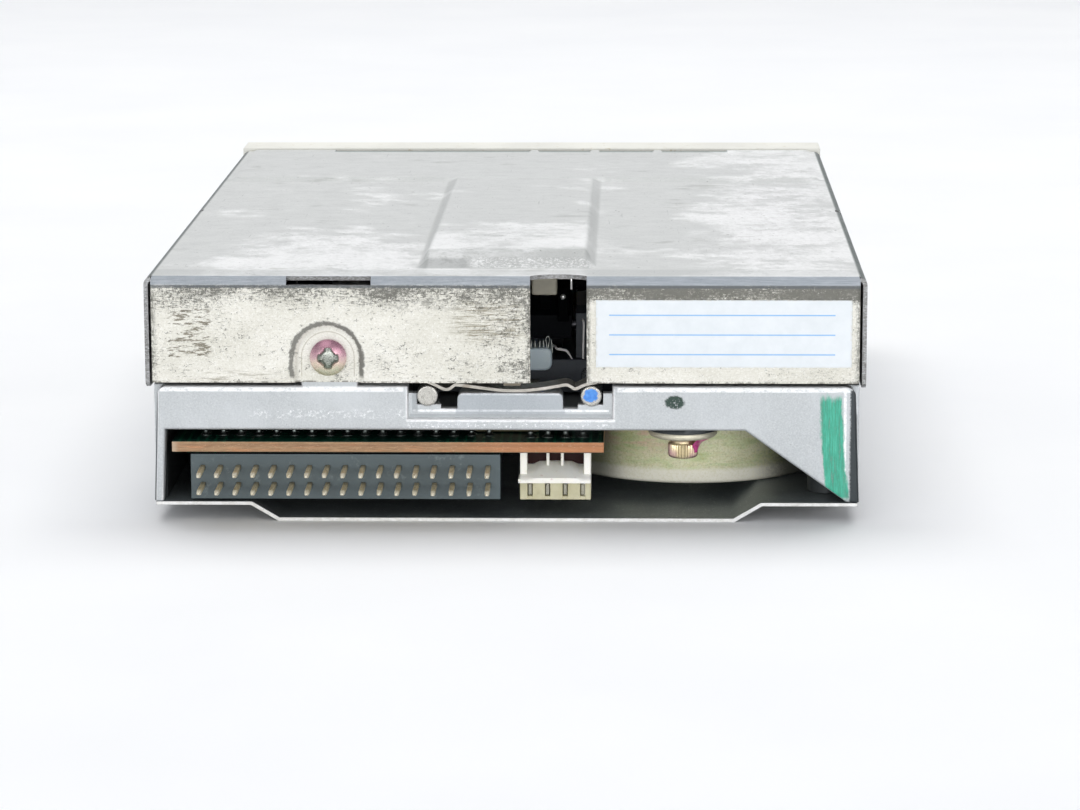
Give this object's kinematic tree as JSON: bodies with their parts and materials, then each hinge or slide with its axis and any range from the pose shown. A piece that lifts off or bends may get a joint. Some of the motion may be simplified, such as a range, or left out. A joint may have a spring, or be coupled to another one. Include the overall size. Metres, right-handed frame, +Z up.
{
  "type": "floppy disk drive",
  "caption": "Slim 3.5-inch floppy disk drive: die-cast chassis, folded steel cover, disk slot with dust door, eject button, band-driven head carriage and rear pin header.",
  "frame": {"origin": "middle of the drive in width and length, on the lowest face of the bottom shield", "axes": "+Z up, -Y towards the bezel and disk slot, +Y towards the rear connectors, +X to the left seen from the rear"},
  "size_m": [0.1016, 0.1554, 0.0377],
  "materials": {
    "cast_aluminium": "bare die-cast, fine grain",
    "plated_steel": "galvanised sheet, scuffed",
    "yellow_zinc_screw": "iridescent zinc",
    "label_paper": "white gloss paper",
    "shield_steel": "dark satin",
    "zinc_screws": "zinc",
    "bezel_plastic": "aged beige, fine texture",
    "lens_plastic": "tinted",
    "door_plastic": "fine texture",
    "spring_steel": "bright",
    "circuit_board": "solder mask",
    "chip_epoxy": "moulded",
    "capacitor_sleeve": "sleeve",
    "solder": "solder",
    "header_plastic": "moulded",
    "gold_contacts": "plated",
    "white_nylon": "translucent white",
    "tinned_contacts": "tinned",
    "passivated_steel": "yellow-green chromate",
    "ground_steel": "ground bright",
    "turned_steel": "turned",
    "band_steel": "thin strip",
    "carriage_resin": "glass-filled",
    "head_ceramic": "ground",
    "clip_plastic": "moulded",
    "flex_film": "film",
    "sensor_plastic": "moulded",
    "slider_steel": "plated",
    "button_plastic": "fine texture",
    "holder_steel": "plated sheet",
    "lever_brass": "stamped",
    "bearing_brass": "sintered",
    "motor_board": "laminate",
    "stator_steel": "laminated",
    "coil_enamel": "enamelled wire",
    "rotor_steel": "plated",
    "magnet_ferrite": "sintered",
    "plunger_plastic": "moulded"
  },
  "bodies": {
    "chassis": {"chassis": "cast_aluminium", "top_cover": "plated_steel", "cover_screw": "yellow_zinc_screw", "rear_label": "label_paper", "bottom_shield": "shield_steel", "shield_screws": "zinc_screws", "front_bezel": "bezel_plastic", "activity_lens": "lens_plastic", "door_spring": "spring_steel", "logic_board": "circuit_board", "board_screws": "zinc_screws", "board_chips": "chip_epoxy", "board_capacitors": "capacitor_sleeve", "solder_joints": "solder", "interface_header": "header_plastic", "interface_pins": "gold_contacts", "power_connector": "white_nylon", "power_contacts": "tinned_contacts", "stepper_can": "passivated_steel", "stepper_clamps": "passivated_steel", "stepper_clamp_screws": "yellow_zinc_screw", "guide_rods": "ground_steel", "rod_clamp_spring": "spring_steel", "head_flex": "flex_film", "track_zero_sensor": "sensor_plastic", "eject_springs": "spring_steel", "spindle_bearing": "bearing_brass", "spindle_board": "motor_board", "stator_core": "stator_steel", "stator_coils": "coil_enamel", "protect_switch": "sensor_plastic", "disk_switch": "sensor_plastic"},
    "slider": {"slider_plate": "slider_steel", "eject_button": "button_plastic"},
    "disk_holder": {"disk_holder": "holder_steel", "holder_pins": "ground_steel", "shutter_lever_rivet": "ground_steel", "shutter_lever_spring": "spring_steel"},
    "shutter_lever": {"shutter_lever": "lever_brass"},
    "head_carriage": {"head_carriage": "carriage_resin", "drive_band": "band_steel", "lower_head": "head_ceramic", "arm_pivot_pin": "ground_steel", "head_lead_clip": "clip_plastic"},
    "upper_head_arm": {"upper_head_arm": "carriage_resin", "upper_head": "head_ceramic", "arm_load_spring": "spring_steel"},
    "stepper_rotor": {"stepper_shaft": "ground_steel", "capstan": "turned_steel", "band_wrap": "band_steel"},
    "spindle_rotor": {"spindle_rotor": "rotor_steel", "rotor_magnet": "magnet_ferrite", "spindle_shaft": "ground_steel", "disk_hub": "turned_steel", "hub_magnet": "magnet_ferrite"},
    "drive_pin": {"drive_pin": "ground_steel"},
    "dust_door": {"dust_door": "door_plastic"},
    "protect_plunger": {"protect_plunger": "plunger_plastic"},
    "disk_plunger": {"disk_plunger": "plunger_plastic"}
  },
  "joints": [
    {"name": "slider_slide", "type": "slide", "parent": "chassis", "child": "slider", "axis": [0, -1, 0], "range_m": [0, 0.006], "deforming": ["eject_springs"]},
    {"name": "holder_drop", "type": "slide", "parent": "chassis", "child": "disk_holder", "axis": [0, 0, -1], "range_m": [0, 0.0036]},
    {"name": "carriage_slide", "type": "slide", "parent": "chassis", "child": "head_carriage", "axis": [0, -1, 0], "range_m": [0, 0.0148], "deforming": ["head_flex"]},
    {"name": "arm_pivot", "type": "hinge", "parent": "head_carriage", "child": "upper_head_arm", "pos_m": [-0.0005, 0.051, 0.025], "axis": [1, 0, 0], "range_deg": [0, 9]},
    {"name": "stepper_spin", "type": "hinge", "parent": "chassis", "child": "stepper_rotor", "pos_m": [-0.0265, 0.0389, 0.016], "axis": [0, 0, 1], "range_deg": [-145, 0]},
    {"name": "spindle_spin", "type": "hinge", "parent": "chassis", "child": "spindle_rotor", "pos_m": [-0.0005, -0.026, 0.01], "axis": [0, 0, 1], "continuous": true},
    {"name": "drive_pin_press", "type": "slide", "parent": "spindle_rotor", "child": "drive_pin", "axis": [0, 0, -1], "range_m": [0, 0.001], "stiffness_N_per_m": 60},
    {"name": "dust_door_swing", "type": "hinge", "parent": "chassis", "child": "dust_door", "pos_m": [0, -0.0707, 0.029], "axis": [1, 0, 0], "range_deg": [0, 85], "stiffness_Nm_per_rad": 0.0002, "springref_deg": -28.65, "deforming": ["door_spring"]},
    {"name": "shutter_lever_swing", "type": "hinge", "parent": "disk_holder", "child": "shutter_lever", "pos_m": [0.039, 0.015, 0.0294], "axis": [0, 0, 1], "range_deg": [-45, 0], "stiffness_Nm_per_rad": 0.002, "springref_deg": 17.19, "deforming": ["shutter_lever_spring"]},
    {"name": "protect_plunger_press", "type": "slide", "parent": "chassis", "child": "protect_plunger", "axis": [0, 0, -1], "range_m": [0, 0.0011], "stiffness_N_per_m": 60},
    {"name": "disk_plunger_press", "type": "slide", "parent": "chassis", "child": "disk_plunger", "axis": [0, 0, -1], "range_m": [0, 0.0011], "stiffness_N_per_m": 60}
  ],
  "couplings": [
    {"joint": "holder_drop", "follows": "slider_slide", "ratio": 0.6},
    {"joint": "arm_pivot", "follows": "slider_slide", "rad_per_m": 26.1},
    {"joint": "stepper_spin", "follows": "carriage_slide", "rad_per_m": -168.92}
  ]
}
